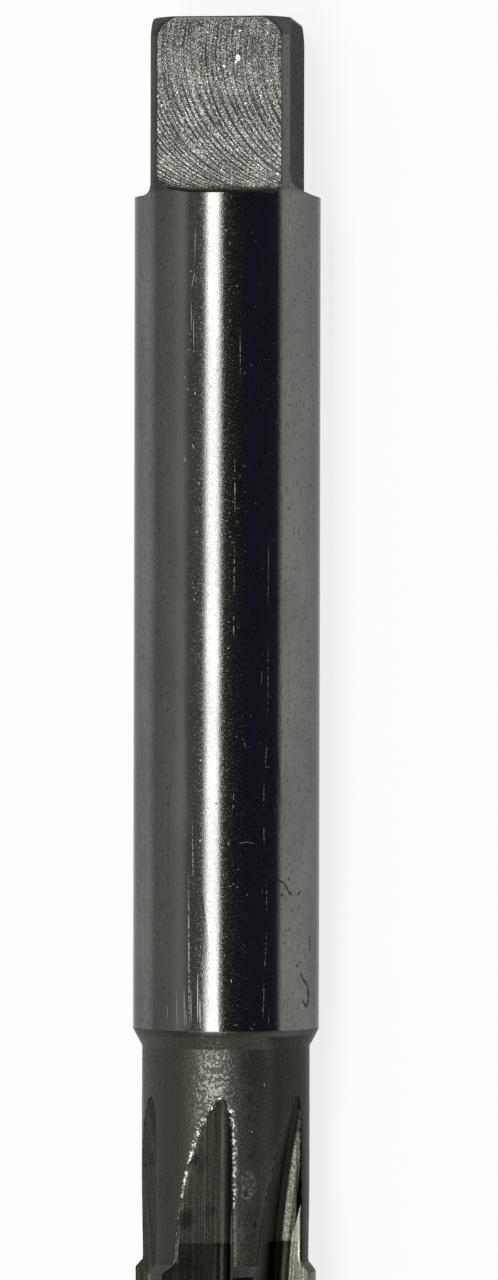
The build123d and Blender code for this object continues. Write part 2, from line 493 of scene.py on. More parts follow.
def square_end_bands(sizes, columns):
    """The square's centre hole from its floor out to its mouth, the end face, its bevel and worn tops.

    A worn top follows a parabola from its start on the end, by the sharp corner, to its end on the flat.
    """
    turn, radius, worn = square_top(sizes, columns)
    hole_radius, hole_depth = centre_hole(sizes)
    end, mouth = sizes.square_length, sizes.centre_mouth / 2
    inside = radius - worn
    rim = np.minimum(sizes.end_face_diameter / 2, mouth + END_FACE_SHARE * (inside - mouth))
    face_radius = mouth + (rim - mouth) * rows_of(0.25, 0.6, 0.9, 1.0)
    bevel_radius = rim + (inside - rim) * rows_of(0.03, 0.15, 0.3, 0.5, 0.7, 0.85, 0.96, 1.0)
    share = rows_of(0.25, 0.5, 0.75)
    worn_radius = parabola(inside, radius, radius, share)
    corner = end_bevel_along(sizes, radius)
    worn_along = parabola(end_bevel_along(sizes, inside), corner, corner - worn, share)
    return [
        band(turn, hole_radius, end - hole_depth, TURNED, around={1: True, 3: True, 5: True}),
        band(turn, face_radius, end, TURNED, around={3: rim == sizes.end_face_diameter / 2}),
        band(turn, bevel_radius, end_bevel_along(sizes, bevel_radius), TURNED),
        band(turn, worn_radius, worn_along, TURNED, down=columns.border),
    ]


def flat_bands(sizes, columns):
    """The four flats with their corners: each flat down to its fillet, the fillet and the shoulder's wall.

    A point h above the flat, on the mill's corner, is the corner's radius times the sine of its angle
    nearer the mill's rim. The mill's rim is its centre less the root of its radius squared less the
    distance squared from its centre, and straight where the mill came in. Where the flat has run out,
    the rows keep a hair apart down the round shank instead.
    """
    shank, flat = sizes.shank_diameter / 2, sizes.across_flats / 2
    mill, corner = sizes.mill_diameter / 2, sizes.mill_corner
    on_flat, on_shank = columns.on_flat, columns.on_shank
    off_centre = np.where(on_flat, np.minimum(columns.across + sizes.mill_past_middle, 0.0), 0.0)

    def mill_along(from_mill):
        """Where along the tool the columns meet a circle of this radius round the mill's axis."""
        return mill - np.sqrt(from_mill * from_mill - off_centre * off_centre)

    turn, radius, worn = square_top(sizes, columns)
    top = end_bevel_along(sizes, radius) - worn
    foot = mill_along(mill - corner)
    at_corner = foot[FLAT_COLUMNS] + (foot[0] - foot[FLAT_COLUMNS]) * columns.past_border
    foot = np.where(on_flat, foot, at_corner)
    finish = np.where(columns.faces_flat, MILLED, GROUND)
    share = rows_of(0.0, 0.008, np.linspace(0.0, 1.0, 26)[1:])
    flats = band(turn, radius, top + (foot - top) * share, finish, down=columns.border)

    rim = np.where(on_flat, np.sqrt(np.maximum(shank * shank - columns.across ** 2, 0.0)) - flat, 0.0)
    ran_out = ~on_flat | (rim < RUN_OUT)
    order = rows_of(np.arange(1, FILLET_ROWS + 1))
    sweep = np.arccos(1.0 - np.clip(rim / corner, 0.0, 1.0)) * order / FILLET_ROWS
    turn, radius = columns.on_flat_at(flat + corner * (1.0 - np.cos(sweep)))
    from_mill = mill - corner + corner * np.sin(sweep)
    fillet_along = np.where(ran_out, foot - order * HAIR, mill_along(from_mill))
    fillet = band(np.where(ran_out, on_shank, turn), np.where(ran_out, shank, radius), fillet_along,
                  finish, down=columns.border)

    no_wall = ran_out | (rim < corner + RUN_OUT)
    order = rows_of(np.arange(1, WALL_ROWS + 1))
    turn, radius = columns.on_flat_at(flat + corner + np.maximum(rim - corner, 0.0) * order / WALL_ROWS)
    wall_along = np.where(no_wall, fillet_along[-1] - order * HAIR, fillet_along[-1])
    in_wall = order < WALL_ROWS
    wall = band(np.where(no_wall, on_shank, turn), np.where(no_wall, shank, radius), wall_along,
                np.where(in_wall, finish, GROUND), around={WALL_ROWS - 1: columns.faces_flat},
                down=columns.border & in_wall)
    return [flats, fillet, wall]


def shank_bands(sizes, places, columns, start, at_apex):
    """The shank, the step down to the neck and the plain neck, down to the points of the run-outs.

    The columns turn smoothly from the square's places to those they have at the run-outs' points. The
    edge between the shank and the step is rounded by a few hundredths of a millimetre.
    """
    shank, neck = sizes.shank_diameter / 2, sizes.neck_diameter / 2
    step, slope = places.step, math.tan(sizes.shank_step)

    def turn_at(along):
        """The columns' angles at this place along the tool."""
        share = smooth_step((along - places.apex) / (TURN_FROM - places.apex))
        return at_apex + (columns.on_shank - at_apex) * share

    share = rows_of(np.linspace(0.0, 1.0, 46)[1:])
    shank_along = start + (step + 0.12 * MM - start) * share
    round_along = step + rows_of(0.06, 0.015, -0.03, -0.09) * MM
    round_radius = rows_of(shank, shank - 0.006 * MM, shank - 0.024 * MM, shank - 0.09 * MM * slope)
    drop_along = rows_of(np.linspace(step - 0.25 * MM, places.neck_start, 4))
    neck_along = rows_of(np.linspace(places.neck_start - 0.1 * MM, places.apex + 0.25 * MM, 12),
                         places.apex + 0.1 * MM, places.apex + 0.03 * MM, places.apex + 0.005 * MM)
    return [
        band(turn_at(shank_along), shank, shank_along, GROUND),
        band(turn_at(round_along), round_radius, round_along, TURNED),
        band(turn_at(drop_along), shank + (drop_along - step) * slope, drop_along, DULL, around={3: True}),
        band(turn_at(neck_along), neck, neck_along, DULL),
    ]


def run_out_places(sizes, places):
    """Rows down the run-outs, close together by their points, without those beside the step up."""
    by_point = [0.003, 0.012, 0.03, 0.06, 0.10, 0.15, 0.22, 0.30, 0.40, 0.52, 0.66, 0.82]
    along = places.apex - np.append(by_point, np.arange(0.98, 12.0, 0.16)) * MM
    least = 0.05 * MM
    from_step = np.minimum(np.abs(along - places.neck_end), np.abs(along - places.cutting_start))
    return along[(from_step > least) & (along > -sizes.full_depth + least)]


def fluted_bands(sizes, places, columns):
    """The neck's run-outs, the step up, and the cutting part down to its end face."""
    def placed(rows):
        """The rows with their columns in the grid's order."""
        rows = {name: part[:, columns.local] for name, part in rows.items()}
        rows["turn"] = rows["turn"] + 2 * math.pi * columns.lap
        return rows

    run_out = run_out_places(sizes, places)
    neck_along = rows_of(run_out[run_out > places.neck_end])
    step_along = np.linspace(places.neck_end, places.cutting_start, STEP_ROWS)
    taper_along = np.linspace(places.taper_start, places.tool_end + sizes.end_bevel, 9)
    cutting_along = rows_of(step_along, run_out[run_out < places.cutting_start],
                            np.linspace(-sizes.full_depth, places.taper_start, 10), taper_along[1:],
                            places.tool_end)
    neck = worn_edges(fluted_rows(sizes, places, neck_along, sizes.edge_wear))
    cutting = fluted_rows(sizes, places, cutting_along, SHARP)
    in_flute = columns.in_flute
    finish = np.tile(np.where(in_flute, FLUTE, LAND), (len(cutting_along), 1))
    finish[:STEP_ROWS - 1] = np.where(in_flute, FLUTE, TURNED)
    finish[-2:] = TURNED
    lines = {0: ~in_flute, STEP_ROWS - 1: ~in_flute, -2: True, -1: True}
    return [
        band(**placed(neck), along=neck_along, finish=np.where(in_flute, FLUTE, DULL)),
        band(**placed(cutting), along=cutting_along, finish=finish, around=lines, down=columns.edge),
    ]


def cutting_end_bands(sizes, places, columns, outline):
    """The cutting end's face, from the outline in to its centre hole's mouth, and the hole."""
    mouth, end = sizes.centre_mouth / 2, places.tool_end
    hole_radius, hole_depth = (rows[-2::-1] for rows in centre_hole(sizes))
    ahead = SECTOR * (columns.local + MOUTH_AHEAD) / SECTOR_COLUMNS
    mouth_turn = sizes.edge_angle + ahead + 2 * math.pi * columns.lap
    share = rows_of(0.1, 0.3, 0.6, 0.9, 1.0)
    face_turn = outline["turn"][-1] + (mouth_turn - outline["turn"][-1]) * share
    face_radius = outline["radius"][-1] + (mouth - outline["radius"][-1]) * share
    return [
        band(face_turn, face_radius, end, TURNED, around={4: True}),
        band(mouth_turn, hole_radius, end + hole_depth, TURNED, around={1: True, 3: True}),
    ]


def reamer_grid(sizes, places, columns):
    """All rows of the tool's surface, from the square's centre hole to the one at the cutting end."""
    fluted = fluted_bands(sizes, places, columns)
    square = square_end_bands(sizes, columns) + flat_bands(sizes, columns)
    shank = shank_bands(sizes, places, columns, square[-1]["along"][-1], fluted[0]["turn"][0])
    cutting_end = cutting_end_bands(sizes, places, columns, fluted[-1])
    bands = square + shank + fluted + cutting_end
    return {name: np.vstack([part[name] for part in bands]) for name in bands[0]}


def mesh_from_grid(name, grid, poles):
    """A closed mesh from rows of points round an axis and a pole for each end.

    A point is (radius sin turn, along, radius cos turn). Vertex row * COLUMNS + column is a point of the
    grid, and the two poles come last. The faces are the quads between neighbouring rows and columns, and
    a fan at each pole. A quad's corners are, in order, this point, the next row's, that one's next column
    and this row's next column.
    """
    turn, radius = grid["turn"], grid["radius"]
    points = np.stack([radius * np.sin(turn), grid["along"], radius * np.cos(turn)], axis=-1)
    rows = len(points)
    column = np.arange(COLUMNS)
    after = (column + 1) % COLUMNS
    row = np.arange(rows - 1)[:, None]
    quads = np.stack([row * COLUMNS + column, (row + 1) * COLUMNS + column,
                      (row + 1) * COLUMNS + after, row * COLUMNS + after], axis=-1).reshape(-1, 4)
    first_pole, last_pole = rows * COLUMNS, rows * COLUMNS + 1
    first = np.stack([np.full(COLUMNS, first_pole), column, after], axis=-1)
    last_row = (rows - 1) * COLUMNS
    last = np.stack([np.full(COLUMNS, last_pole), last_row + after, last_row + column], axis=-1)
    vertices = np.vstack([points.reshape(-1, 3), poles])
    corners = np.concatenate([quads.ravel(), first.ravel(), last.ravel()])
    totals = np.concatenate([np.full(len(quads), 4), np.full(2 * COLUMNS, 3)])

    mesh = bpy.data.meshes.new(name)
    mesh.vertices.add(len(vertices))
    mesh.vertices.foreach_set("co", vertices.astype(np.float32).ravel())
    mesh.loops.add(len(corners))
    mesh.loops.foreach_set("vertex_index", corners.astype(np.int32))
    mesh.polygons.add(len(totals))
    mesh.polygons.foreach_set("loop_start", (np.cumsum(totals) - totals).astype(np.int32))
    mesh.update(calc_edges=True)
    finishes = np.concatenate([grid["finish"][:-1].ravel(), np.full(2 * COLUMNS, TURNED)])
    mesh.polygons.foreach_set("material_index", finishes.astype(np.int32))
    return mesh


def mark_sharp_lines(mesh, grid):
    """Marks the mesh's edges that lie on a sharp line of the grid, round the tool or along it."""
    ends = np.zeros(len(mesh.edges) * 2, np.int32)
    mesh.edges.foreach_get("vertices", ends)
    low, high = np.sort(ends.reshape(-1, 2), axis=1).T
    in_grid = high < grid["turn"].size
    row, low_column = np.divmod(np.where(in_grid, low, 0), COLUMNS)
    high_row, high_column = np.divmod(np.where(in_grid, high, 0), COLUMNS)
    first = np.where(high - low == COLUMNS - 1, high_column, low_column)
    sharp = np.where(row == high_row, grid["around"][row, first], grid["down"][row, low_column])
    mesh.attributes.new("sharp_edge", "BOOLEAN", "EDGE").data.foreach_set("value", sharp & in_grid)


def add_charts(mesh, grid, columns, shank_radius):
    """Stores the unrolled surface as a UV map, and the distances from the edges, all in millimetres.

    Round the tool, a point's chart is its angle times the shank's radius, and its place along the axis.
    On a flat it is the distance across the flat from its middle, and along. In a flute it is the reach
    along the section, and along. A step for each flat and flute keeps their patterns apart.
    """
    column = np.arange(COLUMNS)
    after = (column + 1) % COLUMNS
    lap = np.where(after == 0, 2 * math.pi, 0.0)

    def corner_values(table, next_table):
        """The table's values at a quad's four corners, the next column's from next_table."""
        return np.stack([table[:-1], table[1:], next_table[1:], next_table[:-1]], axis=-1)

    turn, reach, from_edge = grid["turn"], grid["reach"], grid["from_edge"]
    round_tool = corner_values(turn, turn[:, after] + lap) * shank_radius
    along = corner_values(grid["along"], grid["along"][:, after])
    next_reach = reach + from_edge - from_edge[:, after]
    flute_step = CHART_STEP * MM * columns.sector[None, :, None]
    in_flute = corner_values(reach, next_reach) + flute_step
    across = np.broadcast_to(columns.across, turn.shape)
    on_flat = corner_values(across, across[:, after])
    flat_step = CHART_STEP * MM * columns.side[None, :, None]

    finish = grid["finish"][:-1, :, None]
    first = np.where(finish == FLUTE, in_flute, np.where(finish == MILLED, on_flat, round_tool))
    second = np.where(finish == MILLED, along + flat_step, along)
    quads = np.stack([first, second], axis=-1).reshape(-1, 2)
    fans = np.zeros((len(mesh.loops) - len(quads), 2))
    chart = np.vstack([quads, fans]) / MM
    mesh.uv_layers.new(name="chart").data.foreach_set("uv", chart.astype(np.float32).ravel())
    for name in ("from_edge", "from_heel"):
        values = np.append(grid[name].ravel(), [FAR, FAR]) / MM
        mesh.attributes.new(name, "FLOAT", "POINT").data.foreach_set("value", values.astype(np.float32))


def toned(colour, share):
    """The colour with its brightness scaled, or each of its three parts by a share of its own."""
    return np.multiply(colour, share).tolist()


class Wiring:
    """Adds nodes to a material or a world and joins them, so that a finish reads as a formula."""

    def __init__(self, owner):
        owner.use_nodes = True
        self.tree = owner.node_tree

    def fill(self, node, inputs):
        """Sets the node's inputs to numbers, or joins them to other nodes' outputs."""
        for key, value in inputs.items():
            if isinstance(value, bpy.types.NodeSocket):
                self.tree.links.new(value, node.inputs[key])
            else:
                node.inputs[key].default_value = value

    def add(self, kind, inputs, output=0, **settings):
        """Adds a node of this kind and gives back one of its outputs."""
        node = self.tree.nodes.new("ShaderNode" + kind)
        for name, setting in settings.items():
            setattr(node, name, setting)
        self.fill(node, inputs)
        return node.outputs[output]

    def shader(self, **inputs):
        """Sets or joins the inputs of the material's one shader."""
        named = {name.replace("_", " "): value for name, value in inputs.items()}
        self.fill(self.tree.nodes["Principled BSDF"], named)

    def maths(self, operation, *values):
        """What one kind of sum makes of one, two or three values."""
        return self.add("Math", dict(enumerate(values)), operation=operation)

    def less(self, first, second):
        """The first value less the second."""
        return self.maths("SUBTRACT", first, second)

    def chained(self, operation, values):
        """The first value joined to the second, that to the third, and so on."""
        total, *others = values
        for other in others:
            total = self.maths(operation, total, other)
        return total

    def times(self, *values):
        """The values multiplied."""
        return self.chained("MULTIPLY", values)

    def plus(self, *values):
        """The values added."""
        return self.chained("ADD", values)

    def most(self, *values):
        """The greatest of the values."""
        return self.chained("MAXIMUM", values)

    def least(self, *values):
        """The smallest of the values."""
        return self.chained("MINIMUM", values)

    def vectors(self, operation, first, second=(0.0, 0.0, 0.0), output=0):
        """What one kind of sum makes of one or two vectors."""
        return self.add("VectorMath", {0: first, 1: second}, output, operation=operation)

    def parts(self, vector):
        """The vector's three numbers."""
        node = self.tree.nodes.new("ShaderNodeSeparateXYZ")
        self.tree.links.new(vector, node.inputs[0])
        return node.outputs

    def between(self, value, low, high, first=0.0, last=1.0):
        """Goes smoothly from first to last as the value goes from low to high."""
        ends = {"Value": value, "From Min": low, "From Max": high, "To Min": first, "To Max": last}
        return self.add("MapRange", ends, interpolation_type="SMOOTHSTEP")

    def noise(self, place, cells, detail=2.0, roughness=0.5):
        """Cloudy noise about one half. cells is how many a millimetre, or one number for each axis."""
        spread = self.vectors("MULTIPLY", place, np.broadcast_to(cells, 3).tolist())
        inputs = {"Vector": spread, "Scale": 1.0, "Detail": detail, "Roughness": roughness}
        return self.add("TexNoise", inputs)

    def grains(self, place, cells):
        """Small sharp grains, this many a millimetre, each with its own number from 0 to 1."""
        own = self.add("TexVoronoi", {"Vector": place, "Scale": cells}, "Color")
        return self.parts(own)[0]

    def blend(self, share, first, second):
        """A colour between the first, at 0, and the second, at 1."""
        ends = [end if isinstance(end, bpy.types.NodeSocket) else (*end, 1.0) for end in (first, second)]
        return self.add("Mix", {0: share, 6: ends[0], 7: ends[1]}, 2, data_type="RGBA")

    def layered(self, under, *layers):
        """Colours laid over the one under them. A layer is a mask, its share where that is 1, a colour."""
        for mask, share, over in layers:
            under = self.blend(self.times(mask, share), under, over)
        return under

    def scaled(self, under, factor):
        """The colour with its brightness scaled."""
        return self.add("VectorMath", {0: under, "Scale": factor}, operation="SCALE")

    def dimmed(self, under, mask, share):
        """The colour, darker by this share where the mask is 1."""
        return self.scaled(under, self.plus(self.times(mask, -share), 1.0))

    def bump(self, height, distance):
        """The surface's direction with this relief. A height of 1 stands for distance, in millimetres."""
        return self.add("Bump", {"Height": height, "Distance": distance * MM, "Strength": 1.0})

    def place(self):
        """The point of the tool, in millimetres."""
        return self.vectors("MULTIPLY", self.add("TexCoord", {}, "Object"), (1 / MM, 1 / MM, 1 / MM))

    def side(self, place, turn):
        """How far a point lies to the side that is this many degrees from +Z towards +X, in millimetres."""
        direction = (math.sin(math.radians(turn)), 0.0, math.cos(math.radians(turn)))
        return self.vectors("DOT_PRODUCT", place, direction, output="Value")

    def chart(self):
        """The point of the unrolled surface, in millimetres."""
        return self.vectors("ADD", self.add("UVMap", {}, uv_map="chart"))

    def distance(self, name):
        """The distance from the nearest cutting edge or heel, in millimetres."""
        return self.add("Attribute", {}, "Fac", attribute_name=name)

    def marks(self, chart, marks):
        """1 inside the marks, falling smoothly to 0 at their rims.

        A mark is an ellipse: its middle across and along, its width and length, and its lean in degrees.
        A point's distance is measured in the ellipse's own half sizes, along its own two axes, and the
        nearest mark counts.
        """
        nearest = NO_MARK
        for across, along, width, extent, lean in marks:
            cos, sin = math.cos(math.radians(lean)), math.sin(math.radians(lean))
            axes = np.array(((cos, sin), (-sin, cos))) * 2 / np.array(((width,), (extent,)))
            over, up = (self.vectors("DOT_PRODUCT", chart, (*axis, 0.0), output="Value") for axis in axes)
            own = self.add("CombineXYZ", {0: over, 1: up})
            distance = self.vectors("DISTANCE", own, (*(axes @ (across, along)), 0.0), output="Value")
            nearest = self.least(distance, nearest)
        return self.between(nearest, 1.0, 0.3)


# Marks of use on the shank's chart: angle in degrees, along, width, length (millimetres), lean in degrees
FINE_SCRATCHES = (
    (0.2, -2.60, 0.04, 2.60, -1.0), (-1.0, -4.40, 0.04, 1.40, -12.0), (-2.1, -6.20, 0.04, 2.40, 1.5),
    (-0.6, -7.00, 0.04, 2.80, 0.8), (-18.2, -41.30, 0.06, 1.00, 0.2), (-11.1, -41.20, 0.06, 2.40, 0.8),
    (-5.9, -41.00, 0.07, 2.90, 0.8), (-4.6, -41.60, 0.06, 1.40, 0.8), (-1.4, -41.00, 0.07, 2.60, 0.7),
    (2.9, -40.60, 0.07, 3.60, 0.5), (4.4, -41.30, 0.06, 2.10, 0.6), (43.5, -41.14, 0.07, 0.58, -0.4),
    (36.1, -42.10, 0.07, 0.34, 47.5), (30.6, -32.73, 0.05, 0.75, -79.8), (35.2, -32.73, 0.05, 0.80, 81.0),
    (128.0, -12.0, 0.05, 2.6, 1.0), (151.0, -28.0, 0.06, 3.8, -1.0), (196.0, -17.0, 0.05, 4.2, 0.5),
    (233.0, -33.5, 0.05, 2.4, 0.0), (291.0, -37.0, 0.06, 2.8, 0.0),
)
DOTTED_SCRATCHES = (
    (-2.9, -38.30, 0.12, 11.0, 0.4), (-0.5, -33.20, 0.06, 4.60, 1.0),
    (46.5, -19.12, 0.06, 5.32, -0.2), (46.4, -24.54, 0.07, 5.57, 0.0), (45.2, -28.35, 0.07, 2.10, -5.2),
    (43.8, -30.29, 0.08, 1.84, -1.3), (43.9, -32.20, 0.09, 2.05, 1.4), (45.8, -35.50, 0.07, 2.80, 1.4),
    (45.3, -38.02, 0.08, 2.30, -3.8), (44.0, -40.67, 0.08, 3.05, -1.2), (47.3, -41.45, 0.06, 1.59, 1.2),
    (42.2, -24.39, 0.06, 1.34, -1.8), (28.2, -8.13, 0.06, 3.45, 0.4), (25.1, -14.72, 0.07, 4.56, 0.3),
    (24.9, -19.00, 0.06, 4.06, -0.5), (24.6, -21.80, 0.08, 1.59, -0.4), (31.2, -27.71, 0.08, 0.89, 19.7),
    (24.6, -30.66, 0.06, 1.19, -3.4), (170.0, -30.0, 0.07, 9.0, 0.3), (215.0, -14.0, 0.06, 7.0, 0.0),
)
BRIGHT_DENTS = (
    (-2.4, -3.95, 0.09, 0.12, 50.0), (-3.9, -7.91, 0.10, 0.13, 50.0), (-0.5, -7.99, 0.09, 0.12, 50.0),
    (-6.4, -9.29, 0.08, 0.26, 8.0), (-4.4, -9.90, 0.09, 0.19, 12.0), (0.4, -10.11, 0.09, 0.29, 10.0),
    (-0.7, -12.79, 0.09, 0.38, 20.0), (-6.3, -13.43, 0.10, 0.36, 21.0), (3.1, -14.65, 0.09, 0.12, 32.0),
    (1.6, -17.09, 0.10, 0.13, 40.0), (0.2, -20.50, 0.10, 0.13, 47.0), (22.4, -17.33, 0.08, 0.12, 27.0),
    (21.3, -22.94, 0.10, 0.13, 39.0), (28.3, -14.26, 0.08, 0.12, 36.0), (4.4, -28.59, 0.10, 0.13, 40.0),
    (4.2, -32.65, 0.10, 0.13, 46.0), (23.0, -34.92, 0.09, 0.12, -63.0), (24.7, -34.80, 0.08, 0.11, -76.0),
    (27.2, -34.96, 0.09, 0.12, 50.0), (33.2, -35.35, 0.09, 0.12, 20.0), (42.8, -35.23, 0.09, 0.12, 58.0),
    (23.6, -39.69, 0.10, 0.33, 6.0), (44.7, -38.83, 0.09, 0.49, 8.0),
)
DARK_NICKS = (
    (56.3, -34.71, 0.16, 0.86, 62.3), (60.3, -35.02, 0.20, 0.67, 32.8), (63.2, -35.29, 0.20, 0.61, 52.9),
    (57.0, -35.39, 0.16, 0.43, 67.1), (71.2, -35.33, 0.16, 0.55, -51.7), (61.9, -34.60, 0.19, 0.20, 21.8),
    (73.8, -39.50, 0.23, 0.46, 26.4), (77.6, -39.83, 0.24, 1.12, 47.2), (81.6, -40.39, 0.30, 1.17, 11.1),
    (80.8, -40.92, 0.24, 0.87, -30.9), (76.9, -40.93, 0.20, 0.99, 42.9), (69.3, -38.99, 0.24, 0.22, 50.6),
    (83.7, -37.94, 0.16, 1.09, 8.3), (205.0, -25.0, 0.30, 0.58, 10.0), (301.0, -19.5, 0.24, 0.72, -15.0),
)

# Marks on the photographed flat: across and along, width, length (millimetres), lean in degrees. The
# stains lie round the dents, and one is a short dark line
FLAT_STAINS = (
    (0.93, 6.90, 1.90, 0.75, 0.0), (1.16, 8.40, 1.20, 0.30, 0.0), (-1.03, 8.55, 0.70, 0.35, 0.0),
    (-2.63, 4.79, 0.12, 0.50, 65.0),
)
FLAT_DENTS = (
    (0.95, 6.87, 0.30, 0.42, 20.0), (0.24, 6.43, 0.13, 0.10, 0.0), (0.86, 6.66, 0.13, 0.22, -20.0),
)

# Marks on the neck, on the shank's chart: blots, spots worn by rubbing in use, the front that mirrors the
# soft box, where the specks' colour is a painted highlight, and dents. The stains in the photographed flute
# are on the flutes' own chart
NECK_BLOTS = ((34.4, -50.41, 0.36, 0.66, 0.0), (40.5, -52.0, 0.26, 0.50, 0.0))
NECK_RUBS = ((35.5, -50.1, 1.70, 3.2, 0.0), (26.5, -48.3, 0.60, 4.6, 0.0), (31.0, -52.4, 0.50, 1.2, 0.0))
NECK_FRONT = ((12.0, -46.0, 3.4, 9.0, 0.0),)
NECK_DENTS = ((47.5, -44.98, 0.06, 0.27, 0.0), (38.3, -47.32, 0.10, 0.10, 0.0))
FLUTE_STAINS = ((98.3, -51.8, 1.3, 1.5, 0.0), (98.7, -48.7, 0.8, 1.1, 10.0))

# Along the tool, in millimetres: where the grinding wheel's second pass ends, where the pass on the cutting
# faces starts, and between which places the bright colour on the run-outs' rims, partly wear and partly a
# painted highlight, fades out
SECOND_PASS = -53.02
RAKE_PASS = -50.30
RIM_WEAR_FADES = (-52.5, -50.0)

# How close together the end mill's deeper cuts are, in radians a millimetre, and the layer of the noise
# that its arcs are read from
CUTS_RATE = 19.0
ARCS_LAYER = 1.7

# Sides of the tool, in degrees from +Z towards +X: where the shank mirrors the soft box, where a flat
# points down, and the photograph's right
BRIGHT_SIDE = 11.5
LOW_SIDE = 145.0
RIGHT_SIDE = 85.0

# Colours that damage, wear and dirt leave on the steel, and painted light: the glint is a painted glint,
# the front's speck colour a painted highlight, and the two rim colours partly wear and partly a painted
# highlight
BARE = (0.60, 0.60, 0.57)
GLINT = (0.66, 0.66, 0.60)
DENT = (0.75, 0.76, 0.72)
RIM_WEAR_AND_HIGHLIGHT = (0.36, 0.36, 0.32)
NECK_WEAR_AND_RIM_HIGHLIGHT = (0.48, 0.48, 0.44)
FRONT_SPECK_HIGHLIGHT = (0.162, 0.162, 0.150)
NECK_GRAIN = (0.082, 0.081, 0.070)
PIT = (0.055, 0.053, 0.048)
NICK = (0.016, 0.016, 0.015)
BLOT = (0.016, 0.016, 0.016)
STAIN_ON_FLAT = (0.022, 0.022, 0.030)
DIRT_AT_FOOT = (0.040, 0.038, 0.018)
STAIN_ON_BEVEL = (0.040, 0.040, 0.044)
STAIN_IN_FLUTE = (0.022, 0.022, 0.020)


def shank_marks(steel, chart, sizes, *tables):
    """The cover of each table's marks, whose angles become distances round the shank, in millimetres."""
    radius = sizes.shank_diameter / 2 / MM
    return [steel.marks(chart, [(math.radians(turn) * radius, *others) for turn, *others in marks])
            for marks in tables]


def new_finish(name):
    """A material with its wiring: bare metal, which brightens only a little where it is seen at a slant."""
    material = bpy.data.materials.new(name)
    wiring = Wiring(material)
    wiring.shader(Metallic=1.0, Specular_Tint=(0.55, 0.55, 0.55, 1.0))
    return material, wiring


def rim_highlight_band(steel, to_right):
    """1 on a band of the run-outs between the tool's two silhouettes, where their rims' bright colour is
    partly wear and partly a painted highlight.
    """
    return steel.times(steel.between(to_right, -2.1, -1.6), steel.between(to_right, 3.0, 2.4))


def dark_rims(steel, along, breaks):
    """1 close to a run-out's edge where its bright wear and painted highlight are broken, which leaves a
    dark line there.
    """
    nearest = steel.least(steel.distance("from_edge"), steel.distance("from_heel"))
    unbroken = steel.times(breaks, steel.between(along, *RIM_WEAR_FADES, 0.15, 1.0))
    return steel.times(steel.between(nearest, 0.12, 0.06), steel.between(unbroken, 1.0, 0.0))


def ground_finish(looks, sizes):
    """The shank as ground, with its marks of use.

    Grinding rings are noise drawn out round the tool, and a close grain lies over them. Where the grain
    peaks beside the highlight the steel is rougher, which spreads a sparkle there. Pits, scratches and
    dents are rougher still, so that they catch the light where the shank mirrors a dark place. Away from
    the highlight there are small dark flecks, and the nicks are dark inside.
    """
    material, steel = new_finish("ground_shank")
    place, chart = steel.place(), steel.chart()
    clouds = steel.noise(place, (0.35, 0.18, 0.35), detail=4.0)
    rings = steel.noise(place, (0.12, 16.0, 0.12), detail=3.0)
    draw = steel.noise(place, (5.0, 0.10, 5.0), detail=3.0)
    grain = steel.noise(place, 14.0, detail=3.0, roughness=0.65)
    mottle = steel.noise(place, (9.0, 4.0, 9.0), detail=3.0, roughness=0.7)
    to_light = steel.side(place, BRIGHT_SIDE)
    flecks = steel.times(steel.between(mottle, 0.585, 0.64), steel.between(to_light, 4.50, 4.10))
    pits = steel.between(steel.noise(place, 6.0, detail=0.0), 0.80, 0.84)
    beside = steel.between(to_light, 4.10, 4.58, 0.25, 1.0)
    peaks = steel.times(steel.between(grain, 0.535, 0.69), beside)
    on_square = steel.between(steel.parts(chart)[1], 0.0, 0.3)
    fine, dotted, dent, nick = shank_marks(
        steel, chart, sizes, FINE_SCRATCHES, DOTTED_SCRATCHES, BRIGHT_DENTS, DARK_NICKS)
    dots = steel.between(steel.noise(place, (5.0, 7.0, 5.0)), 0.41, 0.52)
    scratch = steel.most(fine, steel.times(dotted, dots), dent)

    clouded = steel.blend(steel.between(clouds, 0.35, 0.65), looks.ground, toned(looks.ground, 0.86))
    mottled = steel.scaled(clouded, steel.between(mottle, 0.38, 0.62, 1.06, 0.95))
    drawn = steel.blend(steel.between(draw, 0.58, 0.72), mottled, toned(looks.ground, 0.84))
    marked = steel.layered(drawn, (flecks, 0.70, PIT), (scratch, 0.55, BARE), (nick, 0.88, NICK))
    colour = steel.dimmed(marked, on_square, 0.30)
    rough = steel.plus(steel.times(peaks, 0.27), steel.times(clouds, 0.05), 0.062,
                       steel.times(scratch, 0.32), steel.times(pits, 0.32))
    relief = steel.plus(grain, steel.times(rings, 0.45), steel.times(draw, 0.35))
    steel.shader(Base_Color=colour, Roughness=rough, Normal=steel.bump(relief, 0.0035))
    return material


